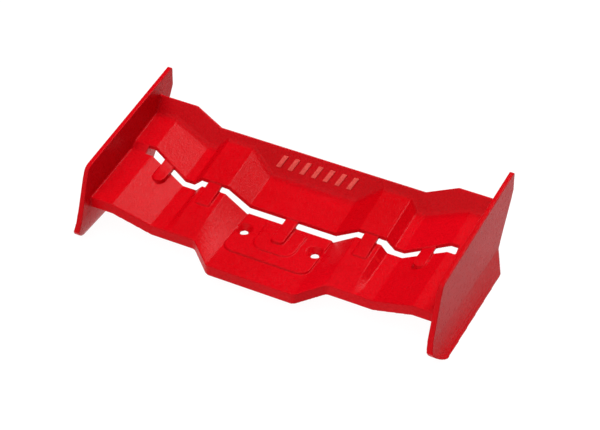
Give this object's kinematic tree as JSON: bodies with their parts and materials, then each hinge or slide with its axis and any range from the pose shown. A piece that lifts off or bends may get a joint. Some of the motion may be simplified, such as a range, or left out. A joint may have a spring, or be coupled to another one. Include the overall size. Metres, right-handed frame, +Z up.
{
  "type": "radio control car rear wing",
  "caption": "Moulded slotted rear wing for a radio controlled car: two folded planes, a steep rear lip and flared endplates, with countersunk screw seats in its centre.",
  "frame": {"origin": "midway along the wing and midway between the endplates, on the plane that the endplate feet stand on", "axes": "+X to the right seen from the front, along the span; +Y rearwards; +Z up"},
  "size_m": [0.206, 0.0952, 0.05],
  "materials": {
    "red_nylon": "fine-grained satin, moulded in colour"
  },
  "bodies": {
    "root": {"lower_plane": "red_nylon", "leading_edge": "red_nylon", "mount_pad": "red_nylon", "centre_boss": "red_nylon", "upper_plane": "red_nylon", "rear_lip": "red_nylon", "slot_finger_centre": "red_nylon", "endplate_left": "red_nylon", "endplate_foot_left": "red_nylon", "slot_finger_inner_left": "red_nylon", "slot_finger_outer_left": "red_nylon", "slot_end_left": "red_nylon", "endplate_right": "red_nylon", "endplate_foot_right": "red_nylon", "slot_finger_inner_right": "red_nylon", "slot_finger_outer_right": "red_nylon", "slot_end_right": "red_nylon", "lip_bar_1": "red_nylon", "lip_bar_2": "red_nylon", "lip_bar_3": "red_nylon", "lip_bar_4": "red_nylon", "lip_bar_5": "red_nylon", "lip_bar_6": "red_nylon", "lip_bar_7": "red_nylon"}
  },
  "joints": []
}
